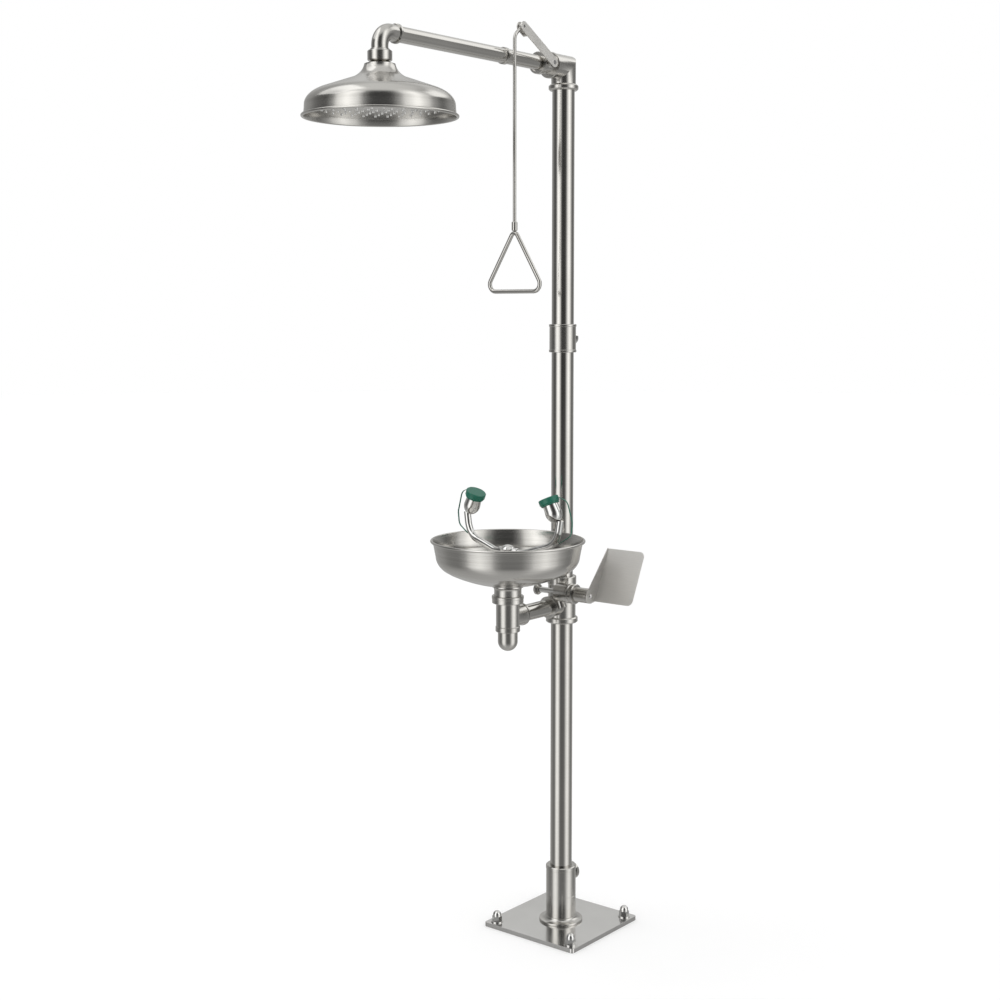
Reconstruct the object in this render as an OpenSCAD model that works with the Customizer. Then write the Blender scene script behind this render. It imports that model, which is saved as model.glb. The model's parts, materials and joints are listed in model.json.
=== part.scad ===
// Emergency safety shower with a bowl eyewash on one floor-mounted post.
// Millimetres. Origin: post axis at the underside of the base plate.
// +Z is up, +X is the way the shower arm and the bowl reach out, +Y is the paddle side.

/* [Base] */
// Side of the square base plate
plate_side = 305; // [240:5:400]
// Thickness of the base plate
plate_t = 12; // [8:1:20]
// Corner radius of the base plate
plate_corner_r = 8; // [2:1:20]
// Distance between anchor holes, both ways
anchor_spacing = 254; // [200:1:260]
// Diameter of an anchor hole
anchor_hole_d = 18; // [14:1:22]
// Outside diameter of an anchor washer
washer_od = 34; // [30:1:40]
// Thickness of an anchor washer
washer_t = 3; // [2:0.5:5]
// Width across flats of an anchor cap nut
nut_flats = 24; // [20:1:27]
// Height of an anchor cap nut
nut_h = 28; // [24:1:34]
// Outside diameter of the flared foot flange
flange_od = 121; // [100:1:150]
// Height of the flared foot flange
flange_h = 15; // [10:1:25]
// Outside diameter of the foot socket
socket_od = 82.5; // [76:0.5:95]
// Height of the foot socket above the plate
socket_h = 73; // [60:1:100]

/* [Post] */
// Outside diameter of the post tubes
post_od = 60.3; // [54:0.1:66]
// Wall of the post tubes
post_wall = 3; // [2:0.25:4]
// Outside diameter of the inlet tee
inlet_tee_od = 84; // [78:0.5:95]
// Height of the inlet tee
inlet_tee_h = 84.5; // [80:0.5:110]
// Height of the inlet axis above the foot of the inlet tee
inlet_rise = 52; // [48:1:56]
// Diameter of the inlet thread's bore
inlet_bore_d = 30.3; // [24:0.1:31]
// Outside diameter of the inlet boss
inlet_boss_od = 47; // [42:1:52]
// Reach of the inlet boss from the post axis
inlet_reach = 57; // [50:1:80]
// Middle height of the post coupling
coupling_z = 1636; // [1400:5:1900]
// Length of the post coupling
coupling_h = 76; // [60:1:100]
// Outside diameter of the post coupling
coupling_od = 72; // [70:0.5:84]
// How deep a post tube enters its socket
post_engage = 18; // [12:1:24]

/* [Eyewash valve] */
// Height of the branch axis
branch_z = 904.5; // [800:0.5:1000]
// Outside diameter of the valve tee's upright body
tee_od = 75.6; // [72:0.2:86]
// Depth of the valve tee below the branch axis
tee_drop = 49; // [46:1:70]
// Rise of the valve tee above the branch axis
tee_rise = 80; // [78:1:100]
// Outside diameter of the branch barrel
barrel_od = 56; // [54:0.5:62]
// Reach of the branch barrel's mouth from the post axis
barrel_reach = 66; // [60:1:80]
// Distance of the valve spindle in front of the post axis
spindle_x = 52; // [50:0.5:60]
// Rise of the valve spindle above the branch axis
spindle_rise = 44.5; // [42:0.5:50]
// Outside diameter of the valve hub
hub_od = 50; // [46:0.5:56]
// Diameter of the rotary plug
rotor_d = 32; // [28:0.5:34]
// Diameter of the bare spindle
spindle_d = 16; // [12:0.5:18]
// Diameter of the spindle knob
knob_d = 31; // [24:1:36]
// Distance from the post axis to the knob's end
knob_reach = 50; // [46:1:60]
// Diameter of the paddle sleeve
sleeve_d = 40; // [34:1:44]

/* [Push paddle] */
// Height of the paddle plate, along the plate
paddle_h = 150; // [120:1:200]
// Width of the paddle plate
paddle_w = 120; // [80:1:160]
// Thickness of the paddle sheet
paddle_t = 2; // [1.5:0.5:3]
// Corner radius of the paddle plate
paddle_corner_r = 15; // [5:1:25]
// Lean of the paddle from upright, away from the bowl
paddle_lean = 25; // [10:1:35]
// Distance of the paddle's inner edge from the post axis
paddle_y = 133; // [120:1:160]

/* [Bowl] */
// Distance of the bowl axis in front of the post axis
bowl_x = 238.5; // [225:0.5:300]
// Radius of the bowl's rim
bowl_r = 200.5; // [175:0.5:210]
// Height of the bowl's rim
bowl_rim_z = 1108; // [1096:1:1140]
// Depth of the bowl
bowl_depth = 117; // [105:1:128]
// Sheet thickness of the bowl
bowl_t = 1.2; // [0.8:0.1:2]
// Diameter of the rolled rims of the bowl and the shower bell
rim_bead_d = 7; // [5:0.5:10]
// Outside diameter of the feed pipe
feed_od = 44; // [38:0.1:45]
// Wall of the feed pipe
feed_wall = 2.5; // [2:0.25:4]
// Outside diameter of the tee under the bowl
bowl_tee_od = 62; // [60:0.5:70]
// Outside diameter of the neck under the bowl
neck_od = 72; // [70:0.5:78]
// Outside diameter of the union ring on the neck
union_od = 83; // [81:0.5:92]
// Outside diameter of the trap cup
trap_od = 52.5; // [46:0.5:56]
// Depth of the trap cup's tip below the branch axis
trap_drop = 90; // [80:1:110]

/* [Eyewash outlets] */
// Outside diameter of the gooseneck tubes
neck_tube_d = 18.5; // [14:0.5:20]
// Distance of a nozzle's foot from the bowl axis
nozzle_out = 148.5; // [136:0.5:152]
// Height of a nozzle's foot above the bowl's rim
nozzle_up = 58.5; // [54:0.5:80]
// Length of a nozzle body
nozzle_h = 62; // [50:1:70]
// Largest diameter of a nozzle body
nozzle_d = 44; // [40:0.5:48]
// Lean of the nozzles towards each other
nozzle_lean = 24; // [10:1:35]
// How far the outlets are swept back towards the post
outlet_sweep = 7.4; // [0:0.2:12]
// Outside diameter of a dust cap
cap_d = 54; // [50:0.5:62]
// Height of a dust cap
cap_h = 19; // [14:0.5:24]
// Width of a cap strap
strap_w = 5; // [4:0.5:8]
// Thickness of a cap strap
strap_t = 2; // [1.5:0.5:3]

/* [Shower arm] */
// Height of the shower arm's axis
arm_z = 2359; // [2100:1:2600]
// Distance of the shower head's axis in front of the post axis
head_x = 716; // [600:1:900]
// Outside diameter of the shower arm
arm_od = 38.1; // [33.7:0.1:40]
// Wall of the shower arm
arm_wall = 2.5; // [2:0.25:4]
// Outside diameter of the top elbow
elbow_od = 66; // [66:0.5:72]
// Reach of the top elbow's mouth from the post axis
elbow_reach = 65; // [60:1:80]
// Place of the joint ring on the arm
arm_joint_x = 256; // [220:1:320]
// Centre-line radius of the head elbow
head_bend_r = 34; // [30:1:50]
// Outside diameter of the head's union nut
head_nut_od = 58; // [52:0.5:66]

/* [Shower head] */
// Radius of the shower bell's rim
bell_r = 181.5; // [150:0.5:200]
// Height of the shower bell's rim
bell_rim_drop = 197; // [190:1:215]
// Height of the shower bell
bell_h = 124; // [115:1:130]
// Sheet thickness of the shower bell
bell_t = 1.2; // [0.8:0.1:2]
// How far the spray plate is set up inside the bell's rim
spray_recess = 17; // [10:1:20]
// Rings of spray holes
spray_rings = 5; // [2:1:6]
// Diameter of a spray hole
spray_hole_d = 5; // [3:0.5:8]

/* [Pull station] */
// Distance of the shower valve's stem in front of the post axis
stem_x = 90; // [88:1:100]
// Length of the lever between its two pins
lever_l = 150; // [120:1:170]
// Width of the lever strip
lever_w = 25; // [20:1:32]
// Thickness of the lever strip
lever_t = 3.5; // [2:0.5:5]
// Angle of the lever above level when the valve is shut
lever_rise = 30; // [15:1:35]
// Diameter of the pull rod
rod_d = 9; // [6:0.5:10]
// How far the rod hangs in front of its pin
rod_offset = 30; // [24:1:40]
// Height of the pull handle's lowest point
handle_z = 1754; // [1500:1:1900]
// Height of the pull handle
handle_h = 160; // [120:1:200]
// Width of the pull handle
handle_w = 178; // [130:1:200]
// Wire diameter of the pull handle
handle_d = 11; // [8:0.5:14]

/* [Clearances] */
// Radial gap where a tube slips into its socket
fit_gap = 0.15; // [0.1:0.05:0.3]
// Radial gap round a turning spindle, stem or plug
turn_gap = 0.05; // [0.02:0.01:0.1]
// Gap between faces that move past each other
run_gap = 0.3; // [0.3:0.1:0.6]

/* [Hidden] */
$fn = 64;
eps = 0.02;
steel = [0.74, 0.73, 0.70];
polished = [0.86, 0.86, 0.86];
green = [0.02, 0.42, 0.30];
black = [0.08, 0.08, 0.08];

// Post
post_r = post_od / 2;
post_bore_r = post_r - post_wall;
socket_r = post_r + fit_gap;
tee_foot_z = plate_t + socket_h;
tee_head_z = tee_foot_z + inlet_tee_h;
inlet_z = tee_foot_z + inlet_rise;
inlet_relief_r = inlet_bore_d / 2 + 1.5;
inlet_relief_x = post_bore_r + 2;
lower_pipe_z0 = tee_head_z - 14;
valve_tee_z0 = branch_z - tee_drop;
valve_tee_z1 = branch_z + tee_rise;
lower_pipe_z1 = valve_tee_z0 + post_engage;
middle_pipe_z0 = valve_tee_z1 - post_engage;
middle_pipe_z1 = coupling_z - 1;
upper_pipe_z0 = coupling_z + 1;
elbow_r = elbow_od / 2;
elbow_foot_z = arm_z - 60.5;
upper_pipe_z1 = elbow_foot_z + post_engage + 3;
collar_h = 16;

// Eyewash valve
spindle_z = branch_z + spindle_rise;
hub_r = hub_od / 2;
hub_y0 = 26;
hub_y1 = 64;
nose_r = hub_r - 4;
nose_y1 = hub_y1 + 14;
rotor_r = rotor_d / 2;
rotor_y0 = hub_y0 + 6;
rotor_y1 = nose_y1 - 12;
port_r = 7;
stem_r = 9;
gland_y1 = nose_y1 + 9;
gland_r = hub_r + 2;
knob_l = 12;
sleeve_y0 = gland_y1 + run_gap;
stem_y1 = sleeve_y0 + 28;
feed_r = feed_od / 2;
feed_x0 = barrel_reach - 20;
boss_reach = bowl_x - 60.5;
feed_x1 = boss_reach + 14;

// Bowl stack
stack_foot_z = branch_z - 37.5;
tee_top_z = branch_z + 38.5;
union_h = 20;
neck_foot_z = tee_top_z + union_h;
bowl_floor_z = bowl_rim_z - bowl_depth;
gasket_t = 2;
neck_top_z = bowl_floor_z - gasket_t;
bowl_tee_r = bowl_tee_od / 2;
bowl_hole_r = 30;
bowl_flat_r = 54;
riser_r = 13.5;
riser_z1 = bowl_rim_z - 46;
manifold_z0 = riser_z1 - 14;
manifold_r = 20.5;
manifold_z1 = bowl_rim_z - 10;
outlet_z = bowl_rim_z - 30;
neck_tube_r = neck_tube_d / 2;

// Shower valve and arm
arm_r = arm_od / 2;
arm_socket_r = arm_r + fit_gap;
valve_mouth_x = stem_x + 26;
ball_r = 15;
ball_bore_r = 9.5;
cavity_r = ball_r + run_gap;
valve_r = 25;
seat_t = 4;
seat_x = cavity_r - seat_t;
nipple_x0 = stem_x + cavity_r + 1;
valve_spigot_x = elbow_reach - 14;
stem_pin_r = 6;
boss_r = 13;
boss_y = 33;
lever_y = boss_y + 3;
lever_end_y = lever_y + lever_t;
clevis_t = 2.5;
rod_eye_t = rod_d + 0.8;
rod_eye_gap = rod_eye_t + 2 * run_gap;
clevis_y = lever_y - rod_eye_gap - clevis_t;
rod_y = lever_y - rod_eye_gap / 2;
pin_x = stem_x + lever_l * cos(lever_rise);
pin_z = arm_z + lever_l * sin(lever_rise);
pin_r = 4;
rod_x = pin_x + rod_offset;
handle_top_z = handle_z + handle_h;
ferrule_h = 24;
head_tube_r = arm_r + 1;
head_elbow_x = head_x - head_bend_r;
elbow_tail_z = arm_z - head_bend_r - 18;
head_nut_h = 24;
bell_neck_r = 22;
bell_rim_z = arm_z - bell_rim_drop;
bell_top_z = bell_rim_z + bell_h;
spray_plate_r = bell_r - 4.7 - bell_t;
spray_r = spray_plate_r - 6;
spray_z = bell_rim_z + spray_recess;

// A round tube or ring from z0 to z1
module tube(r_out, r_in, z0, z1) {
    translate([0, 0, z0])
        difference() {
            cylinder(r = r_out, h = z1 - z0);
            translate([0, 0, -1]) cylinder(r = r_in, h = z1 - z0 + 2);
        }
}

// A solid cylinder from z0 to z1
module rod(r, z0, z1) {
    translate([0, 0, z0]) cylinder(r = r, h = z1 - z0);
}

// A collar with softened edges from z0 to z1
module collar(r, z0, z1, soft = 2) {
    rotate_extrude()
        polygon([[0, z0], [r - soft, z0], [r, z0 + soft], [r, z1 - soft], [r - soft, z1], [0, z1]]);
}

// Turns what is drawn along +Z so that it runs along +X at a height
module along_x(z) {
    translate([0, 0, z]) rotate([0, 90, 0]) children();
}

// Turns what is drawn along +Z so that it runs along +Y at a place
module along_y(x, z) {
    translate([x, 0, z]) rotate([-90, 0, 0]) children();
}

// One of four corners of a square pattern
module four_corners(spacing) {
    for (x = [-1, 1], y = [-1, 1]) translate([x * spacing / 2, y * spacing / 2, 0]) children();
}

// A rectangle with round corners, centred
module round_rect(w, d, r) {
    square([w - 2 * r, d], center = true);
    square([w, d - 2 * r], center = true);
    for (x = [-1, 1], y = [-1, 1])
        translate([x * (w / 2 - r), y * (d / 2 - r)]) circle(r = r);
}

function unit(v) = v / norm(v);

// Points of the arc that rounds corner b between a and c
function corner(a, b, c, r, n) =
    let (u = unit(a - b), v = unit(c - b), half = acos(u * v) / 2)
    let (m = b + unit(u + v) * r / sin(half), t = r / tan(half), turn = 180 - 2 * half)
    let (e = (b + u * t - m) / r, f = (b + v * t - m) / r)
    [for (i = [0:n]) m + r * (sin(turn * (1 - i / n)) * e + sin(turn * i / n) * f) / sin(turn)];

// An open route whose inner corners are rounded
function route(p, r, n) =
    concat([p[0]], [for (k = [1:len(p) - 2]) each corner(p[k - 1], p[k], p[k + 1], r, n)],
        [p[len(p) - 1]]);

// A closed route, each corner rounded by its own radius
function loop_route(p, r, n) =
    [for (k = [0:len(p) - 1])
        each corner(p[(k + len(p) - 1) % len(p)], p[k], p[(k + 1) % len(p)], r[k], n)];

// Sweeps an oval bar of half sizes a (across) and b (in the plane) along a flat route
module sweep(p, a, b, across, sides = 16, closed = false) {
    n = len(p);
    ahead = [for (i = [0:n - 1])
        closed ? unit(p[(i + 1) % n] - p[(i + n - 1) % n])
            : unit(p[min(i + 1, n - 1)] - p[max(i - 1, 0)])];
    points = [for (i = [0:n - 1], k = [0:sides - 1])
        p[i] + a * cos(360 * k / sides) * across
            + b * sin(360 * k / sides) * cross(ahead[i], across)];
    rings = closed ? n : n - 1;
    skin = [for (i = [0:rings - 1], k = [0:sides - 1])
        let (j = (i + 1) % n, m = (k + 1) % sides)
        [i * sides + k, i * sides + m, j * sides + m, j * sides + k]];
    ends = closed ? [] : [[for (k = [sides - 1:-1:0]) k],
        [for (k = [0:sides - 1]) (n - 1) * sides + k]];
    polyhedron(points, concat(skin, ends), convexity = 6);
}

// The points of an outline, last to first, moved t to the left of the way it runs
function inset(p, t) =
    let (n = len(p) - 1)
    [for (i = [n:-1:0])
        let (d = unit(p[min(i + 1, n)] - p[max(i - 1, 0)]))
        p[i] + t * [-d.y, d.x]];

// Points of a quarter-round or other arc of an ellipse
function ellipse_arc(cx, cz, rx, rz, a0, a1, n) =
    [for (i = [0:n]) let (a = a0 + (a1 - a0) * i / n) [cx + rx * cos(a), cz + rz * sin(a)]];

// ---- Base and post ----

module base_plate() {
    color(steel)
        difference() {
            linear_extrude(plate_t) round_rect(plate_side, plate_side, plate_corner_r);
            four_corners(anchor_spacing) rod(anchor_hole_d / 2, -1, plate_t + 1);
        }
}

module anchor_washers() {
    color(steel)
        four_corners(anchor_spacing)
            tube(washer_od / 2, anchor_hole_d / 2 - 0.4, plate_t, plate_t + washer_t);
}

module anchor_cap_nuts() {
    hex_h = nut_h * 0.46;
    dome_r = nut_flats * 0.48;
    corner_r = nut_flats / 2 / cos(30);
    color(polished)
        four_corners(anchor_spacing)
            translate([0, 0, plate_t + washer_t])
                difference() {
                    union() {
                        cylinder(r = corner_r, h = hex_h, $fn = 6);
                        cylinder(r = dome_r, h = nut_h - dome_r);
                        translate([0, 0, nut_h - dome_r]) sphere(r = dome_r);
                    }
                    rod(7, -1, nut_h - 8);
                }
}

module base_flange() {
    r_in = socket_od / 2 + fit_gap;
    r_out = flange_od / 2;
    color(steel)
        translate([0, 0, plate_t])
            rotate_extrude()
                polygon(concat([[r_in, 0], [r_out - 1, 0], [r_out, 1.5], [r_out, 4]],
                    ellipse_arc(r_out - 1, flange_h, r_out - r_in - 2.5, flange_h - 5.5,
                        -88, -176, 12),
                    [[r_in, flange_h]]));
}

module base_socket() {
    color(steel)
        difference() {
            collar(socket_od / 2, plate_t, tee_foot_z, 0.8);
            rod(socket_r, tee_foot_z - 40, tee_foot_z + 1);
        }
}

module foot_nipple() {
    color(steel) tube(post_r, post_bore_r, tee_foot_z - 40, tee_foot_z + post_engage);
}

module inlet_tee() {
    r = inlet_tee_od / 2;
    color(steel)
        difference() {
            union() {
                collar(r - 0.8, tee_foot_z, tee_head_z - 9, 0.6);
                collar(r, tee_head_z - 12, tee_head_z, 2);
                along_x(inlet_z) mirror([0, 0, 1]) {
                    rod(inlet_boss_od / 2 - 4, 10, inlet_reach - 8);
                    collar(inlet_boss_od / 2, inlet_reach - 14, inlet_reach, 2);
                }
            }
            rod(post_bore_r, tee_foot_z - 1, tee_head_z + 1);
            rod(socket_r, tee_foot_z - 1, tee_foot_z + post_engage);
            rod(socket_r, lower_pipe_z0, tee_head_z + 1);
            along_x(inlet_z) mirror([0, 0, 1]) {
                rod(inlet_bore_d / 2, 5, inlet_reach + 1);
                rod(inlet_relief_r, 5, inlet_relief_x);
            }
        }
}

module lower_pipe() {
    color(steel) tube(post_r, post_bore_r, lower_pipe_z0, lower_pipe_z1);
}

module middle_pipe() {
    color(steel) tube(post_r, post_bore_r, middle_pipe_z0, middle_pipe_z1);
}

module upper_pipe() {
    color(steel) tube(post_r, post_bore_r, upper_pipe_z0, upper_pipe_z1);
}

module mid_coupling() {
    r = coupling_od / 2;
    z0 = coupling_z - coupling_h / 2;
    z1 = coupling_z + coupling_h / 2;
    color(steel)
        difference() {
            union() {
                collar(r, z0, z1, 1);
                collar(r + 1.3, z0, z0 + 7, 1);
                collar(r + 1.3, z1 - 7, z1, 1);
                along_x(coupling_z) mirror([0, 0, 1]) rod(15, 20, r + 3);
            }
            rod(socket_r, z0 - 1, middle_pipe_z1);
            rod(socket_r, upper_pipe_z0, z1 + 1);
            rod(post_bore_r, z0, z1);
            along_x(coupling_z) mirror([0, 0, 1]) rod(8 + fit_gap, post_r + 1, r + 4);
        }
}

module coupling_plug() {
    r = coupling_od / 2;
    color(polished)
        along_x(coupling_z)
            mirror([0, 0, 1]) {
                rod(8, post_r + 1.5, r + 4);
                collar(17, r + 3, r + 15, 2);
                intersection() {
                    translate([0, 0, r + 2]) sphere(r = 17);
                    rod(18, r + 14, r + 20);
                }
            }
}

// ---- Eyewash valve ----

module valve_tee() {
    r = tee_od / 2;
    barrel_r = barrel_od / 2;
    down = [spindle_x, rotor_y0 + port_r, spindle_z];
    color(steel)
        difference() {
            union() {
                collar(r, valve_tee_z0, valve_tee_z1, 1);
                collar(r + 6, valve_tee_z0, valve_tee_z0 + collar_h, 3);
                collar(r + 1.8, valve_tee_z1 - 23, valve_tee_z1, 1.5);
                along_x(branch_z) {
                    rod(barrel_r, 0, barrel_reach - 3);
                    collar(barrel_r + 1.8, barrel_reach - 9, barrel_reach, 1.5);
                }
                along_y(spindle_x, spindle_z) {
                    rod(hub_r, hub_y0, hub_y1);
                    rod(nose_r, hub_y0, nose_y1);
                }
                translate([0, 0, spindle_z])
                    rotate([0, 90, atan2(down.y, down.x)]) cylinder(r = 20, h = norm([down.x, down.y]));
                translate([spindle_x - 6, down.y - 4, branch_z]) rotate([22, 0, 0])
                    cylinder(r = 14, h = spindle_rise);
            }
            rod(post_bore_r, valve_tee_z0 - 1, valve_tee_z1 + 1);
            rod(socket_r, valve_tee_z0 - 1, lower_pipe_z1);
            rod(socket_r, middle_pipe_z0, valve_tee_z1 + 1);
            along_x(branch_z) {
                rod(feed_r + fit_gap, feed_x0, barrel_reach + 1);
                rod(feed_r - feed_wall, post_bore_r + 6, feed_x0 + 1);
            }
            along_y(spindle_x, spindle_z) {
                rod(rotor_r + turn_gap, rotor_y0, nose_y1 + 1);
                rod(spindle_d / 2 + turn_gap, hub_y0 - 1, rotor_y0 + 1);
                rod(spindle_d / 2 + 1, -knob_reach, hub_y0);
            }
            translate([0, 0, spindle_z])
                rotate([0, 90, atan2(down.y, down.x)]) cylinder(r = port_r, h = norm([down.x, down.y]));
            translate([spindle_x - 4, 6, branch_z]) rotate([-36, 0, 0])
                cylinder(r = port_r, h = spindle_rise);
        }
}

module valve_rotor() {
    color(polished)
        difference() {
            along_y(spindle_x, spindle_z) {
                rod(rotor_r, rotor_y0 + run_gap, rotor_y1);
                rod(stem_r, rotor_y0 + run_gap, stem_y1);
                rod(spindle_d / 2, knob_l / 2 - knob_reach, rotor_y0 + 1);
            }
            translate([spindle_x, rotor_y0 + port_r + 4, spindle_z])
                rotate([0, -20, 0]) {
                    rotate([0, -90, 0]) cylinder(r = port_r, h = rotor_d);
                    cylinder(r = port_r, h = rotor_d);
                }
        }
}

module spindle_knob() {
    color(steel)
        along_y(spindle_x, spindle_z)
            difference() {
                union() {
                    collar(knob_d / 2, -knob_reach, knob_l - knob_reach, 3);
                    rod(spindle_d / 2 + 3, knob_l - knob_reach - 1, knob_l - knob_reach + 3);
                }
                rod(spindle_d / 2 + fit_gap, knob_l / 2 - knob_reach, knob_l);
            }
}

module gland_packing() {
    color(black)
        along_y(spindle_x, spindle_z)
            tube(rotor_r - 0.1, stem_r + turn_gap, rotor_y1 + run_gap, nose_y1);
}

module gland_nut() {
    color(steel)
        along_y(spindle_x, spindle_z)
            difference() {
                union() {
                    collar(gland_r, hub_y1 + 1, hub_y1 + 9, 1.5);
                    rod(gland_r - 2.5, hub_y1 + 4, gland_y1 - 4);
                    collar(gland_r, hub_y1 + 12, gland_y1, 2);
                }
                rod(nose_r + fit_gap, hub_y1, nose_y1);
                rod(stem_r + turn_gap, nose_y1 - 1, gland_y1 + 1);
            }
}

module paddle_sleeve() {
    color(steel)
        along_y(spindle_x, spindle_z)
            difference() {
                collar(sleeve_d / 2, sleeve_y0, paddle_y, 1);
                rod(stem_r + fit_gap, sleeve_y0 - 1, stem_y1);
                rod(3 + fit_gap, stem_y1 - 1, paddle_y + 1);
            }
}

// The paddle is drawn in its own plane: x runs forward from the plate, y up along it
module push_paddle() {
    back = 25;
    foot = 7;
    r = sleeve_d / 2;
    top_w = 5;
    color(steel)
        translate([spindle_x, 0, spindle_z])
            rotate([0, -paddle_lean, 0]) {
                translate([-back, paddle_y + paddle_w / 2, paddle_h / 2 - foot])
                    rotate([90, 0, 90])
                        linear_extrude(paddle_t)
                            union() {
                                round_rect(paddle_w, paddle_h, paddle_corner_r);
                                translate([-paddle_w / 2, -paddle_h / 2])
                                    square([paddle_w / 2, paddle_h]);
                            }
                difference() {
                    translate([0, paddle_y + paddle_t, 0])
                        rotate([90, 0, 0])
                            linear_extrude(paddle_t)
                                union() {
                                    circle(r = r);
                                    polygon([[-back, -foot], [-back, paddle_h - foot],
                                        [top_w - back, paddle_h - foot], [r * cos(10), r * sin(10)],
                                        [0, 0], [-r * sin(35), -r * cos(35)]]);
                                }
                    translate([0, paddle_y - 1, 0])
                        rotate([-90, 0, 0]) cylinder(r = 3 + fit_gap, h = paddle_t + 2);
                }
            }
}

module paddle_screw() {
    y = paddle_y + paddle_t;
    color(polished)
        along_y(spindle_x, spindle_z) {
            rod(3, stem_y1 + 1, y);
            intersection() {
                rod(6, y, y + 4);
                translate([0, 0, y - 3.5]) sphere(r = 7);
            }
        }
}

// ---- Bowl and its stack ----

module at_bowl() {
    translate([bowl_x, 0, 0]) children();
}

module feed_pipe() {
    color(steel) along_x(branch_z) tube(feed_r, feed_r - feed_wall, feed_x0, bowl_x - feed_x1 + boss_reach);
}

module bowl_tee() {
    r = bowl_tee_r;
    color(steel)
        difference() {
            union() {
                at_bowl() {
                    collar(r, stack_foot_z, tee_top_z, 0.6);
                    collar(r + 1.5, stack_foot_z, stack_foot_z + 14, 1.2);
                }
                along_x(branch_z) {
                    rod(feed_r + 7, boss_reach, bowl_x);
                    collar(feed_r + 8.5, boss_reach, boss_reach + 7, 1.5);
                }
            }
            at_bowl() rod(r - 4, stack_foot_z - 1, tee_top_z + 1);
            along_x(branch_z) {
                rod(feed_r + fit_gap, boss_reach - 1, bowl_x - feed_x1 + boss_reach);
                rod(feed_r - feed_wall, boss_reach, bowl_x);
            }
        }
}

module trap_cup() {
    r = trap_od / 2;
    foot = branch_z - trap_drop;
    spigot_r = bowl_tee_r - 4 - fit_gap;
    color(steel)
        at_bowl()
            difference() {
                union() {
                    rod(r, foot + r, stack_foot_z);
                    translate([0, 0, foot + r]) sphere(r = r);
                    rod(spigot_r, stack_foot_z - 3, stack_foot_z + 12);
                }
                rod(r - 3, foot + r, stack_foot_z + 13);
                translate([0, 0, foot + r]) sphere(r = r - 3);
            }
}

module neck_union_ring() {
    r = union_od / 2;
    color(steel)
        at_bowl()
            difference() {
                union() {
                    collar(r, tee_top_z, neck_foot_z, 1.5);
                    collar(r + 0.8, tee_top_z + 11, neck_foot_z, 1.5);
                }
                rod(bowl_tee_r - 4, tee_top_z - 1, neck_foot_z + 1);
            }
}

module bowl_neck() {
    r = neck_od / 2;
    flare = 6;
    color(steel)
        at_bowl()
            rotate_extrude()
                polygon(concat([[bowl_hole_r, neck_foot_z], [r, neck_foot_z]],
                    ellipse_arc(r + flare, neck_top_z - 12, flare, 9, 180, 90, 8),
                    [[r + flare, neck_top_z], [bowl_hole_r, neck_top_z]]));
}

module bowl_gasket() {
    color(black) at_bowl() tube(neck_od / 2 + 4, bowl_hole_r, neck_top_z, bowl_floor_z);
}

// The bowl's outer line: a flat round the hole, a shallow rise, a tight turn and the wall
bowl_line = concat(
    [[bowl_hole_r, bowl_floor_z], [bowl_flat_r, bowl_floor_z]],
    ellipse_arc(bowl_flat_r - 69, bowl_floor_z + 394.5, 400, 400, -80, -75 + bowl_r * 0.05, 10),
    ellipse_arc(bowl_r - 70, bowl_rim_z - 38, 59.5, 50, -60, -3, 16),
    [[bowl_r - 2.5, bowl_rim_z]]);

module bowl() {
    color(steel)
        at_bowl() {
            rotate_extrude($fn = 96) polygon(concat(bowl_line, inset(bowl_line, bowl_t)));
            translate([0, 0, bowl_rim_z]) rotate_extrude($fn = 96)
                translate([bowl_r, 0]) circle(r = rim_bead_d / 2, $fn = 24);
        }
}

module bowl_strainer() {
    z = bowl_floor_z + bowl_t + 0.4;
    hole_circle = (bowl_hole_r + riser_r) / 2;
    color(polished)
        at_bowl()
            difference() {
                union() {
                    rod(bowl_hole_r + 7, z, z + 2);
                    rod(bowl_hole_r - fit_gap, z - 12, z + 1);
                }
                rod(bowl_hole_r - 2, z - 13, z - 1);
                rod(riser_r + fit_gap, z - 2, z + 3);
                for (a = [0:30:330])
                    rotate([0, 0, a]) translate([hole_circle, 0, 0]) rod(3, z - 2, z + 3);
            }
}

module riser() {
    flange_x = bowl_x - feed_x1 + boss_reach;
    side_r = 10;
    color(steel)
        difference() {
            union() {
                at_bowl() rod(riser_r, branch_z - 16, riser_z1);
                along_x(branch_z) {
                    rod(side_r + 2.5, flange_x + 1, bowl_x);
                    rod(feed_r - feed_wall - fit_gap, flange_x + 1, flange_x + 5);
                }
            }
            at_bowl() rod(riser_r - 2.5, branch_z - 12, riser_z1 + 1);
            along_x(branch_z) rod(side_r, flange_x, bowl_x);
        }
}

module manifold() {
    color(polished)
        at_bowl()
            difference() {
                union() {
                    rod(manifold_r, manifold_z0, manifold_z1 - 11);
                    translate([0, 0, manifold_z1 - manifold_r - 3.5])
                        intersection() {
                            sphere(r = manifold_r + 3.5);
                            rod(manifold_r, 0, manifold_r + 4);
                        }
                    outlet_sides()
                        translate([0, 0, outlet_z]) rotate([0, 90, 0]) collar(neck_tube_r + 3, 10, 30, 1);
                }
                rod(riser_r + fit_gap, manifold_z0 - 1, riser_z1 + fit_gap);
                rod(9, riser_z1 - 1, outlet_z + 6);
                outlet_sides()
                    translate([0, 0, outlet_z])
                        rotate([0, 90, 0]) {
                            rod(neck_tube_r + fit_gap, 18, 31);
                            rod(neck_tube_r - 2, 0, 19);
                        }
            }
}

// ---- Eyewash outlets, drawn in a plane where +X runs out from the bowl axis ----

module one_side(side) {
    mirror([0, side < 0 ? 1 : 0, 0]) rotate([0, 0, 90 + outlet_sweep]) children();
}

module outlet_sides() {
    for (side = [-1, 1]) one_side(side) children();
}

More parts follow.
